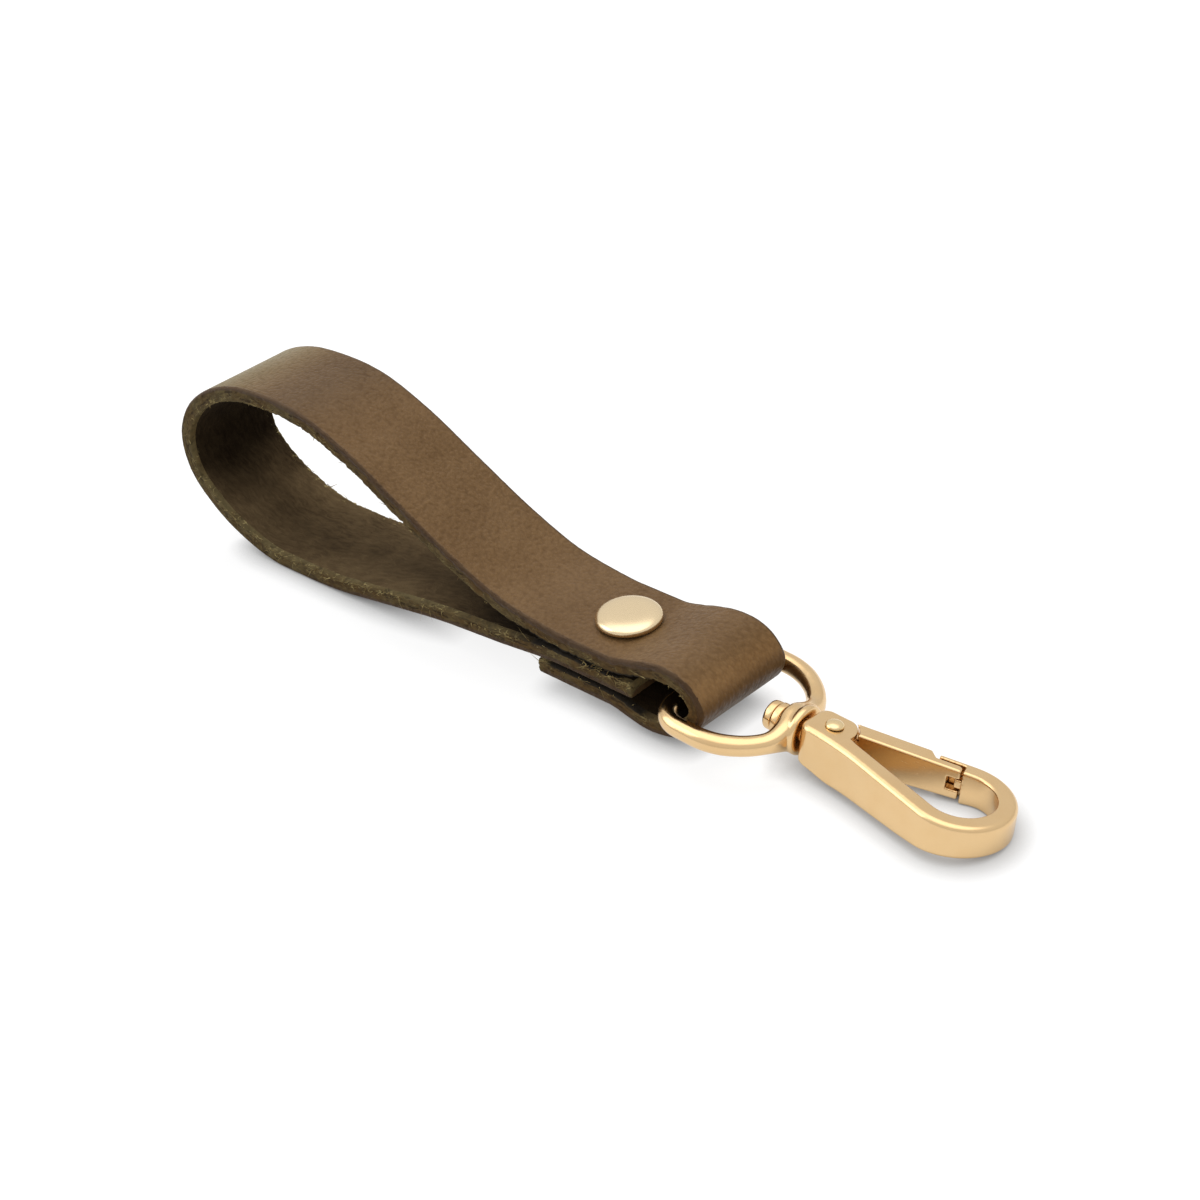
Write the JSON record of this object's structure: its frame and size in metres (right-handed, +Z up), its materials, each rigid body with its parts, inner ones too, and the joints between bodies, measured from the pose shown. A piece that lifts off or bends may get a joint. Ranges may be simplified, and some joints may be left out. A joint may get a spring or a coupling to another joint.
{
  "type": "loop keychain",
  "caption": "Riveted leather strap loop with a cast D-ring, its swivel, and a trigger hook with a sprung gate.",
  "frame": {"origin": "middle of the flat that the loop's belly rests on, halfway across the strap", "axes": "+X along the strap toward the hook, +Y across the strap to the side that the hook's gate is on, +Z up"},
  "size_m": [0.1735, 0.0262, 0.0367],
  "materials": {
    "tan_leather": "matt grain side with a fine pebble, burnished brown edges and a fibrous flesh side",
    "satin_gold_casting": "satin pale gold plating on a casting, with brushed flats",
    "polished_gold_sheet": "polished pale gold plating on drawn sheet",
    "gold_pin": "polished pale gold",
    "spring_steel": "bright drawn wire"
  },
  "bodies": {
    "strap_loop": {"strap": "tan_leather", "rivet_cap": "polished_gold_sheet", "rivet_socket": "polished_gold_sheet", "rivet_base": "polished_gold_sheet", "rivet_post": "polished_gold_sheet"},
    "ring": {"swivel_d_ring": "satin_gold_casting"},
    "hook": {"hook_body": "satin_gold_casting", "swivel_washer": "satin_gold_casting", "gate_pin": "gold_pin", "gate_spring": "spring_steel"},
    "gate": {"gate": "satin_gold_casting"}
  },
  "joints": [
    {"name": "ring_swing", "type": "hinge", "parent": "strap_loop", "child": "ring", "pos_m": [0.0897, 0, 0.0071], "axis": [0, -1, 0], "range_deg": [-120, 120]},
    {"name": "hook_swivel", "type": "hinge", "parent": "ring", "child": "hook", "pos_m": [0.10995, 0, 0.00564], "axis": [0.9974, 0, -0.0718], "continuous": true},
    {"name": "gate_hinge", "type": "hinge", "parent": "hook", "child": "gate", "pos_m": [0.11424, 0, 0.00533], "axis": [-0.0709, -0.1616, -0.9843], "range_deg": [0, 22], "stiffness_Nm_per_rad": 0.05, "springref_deg": -45.84}
  ]
}
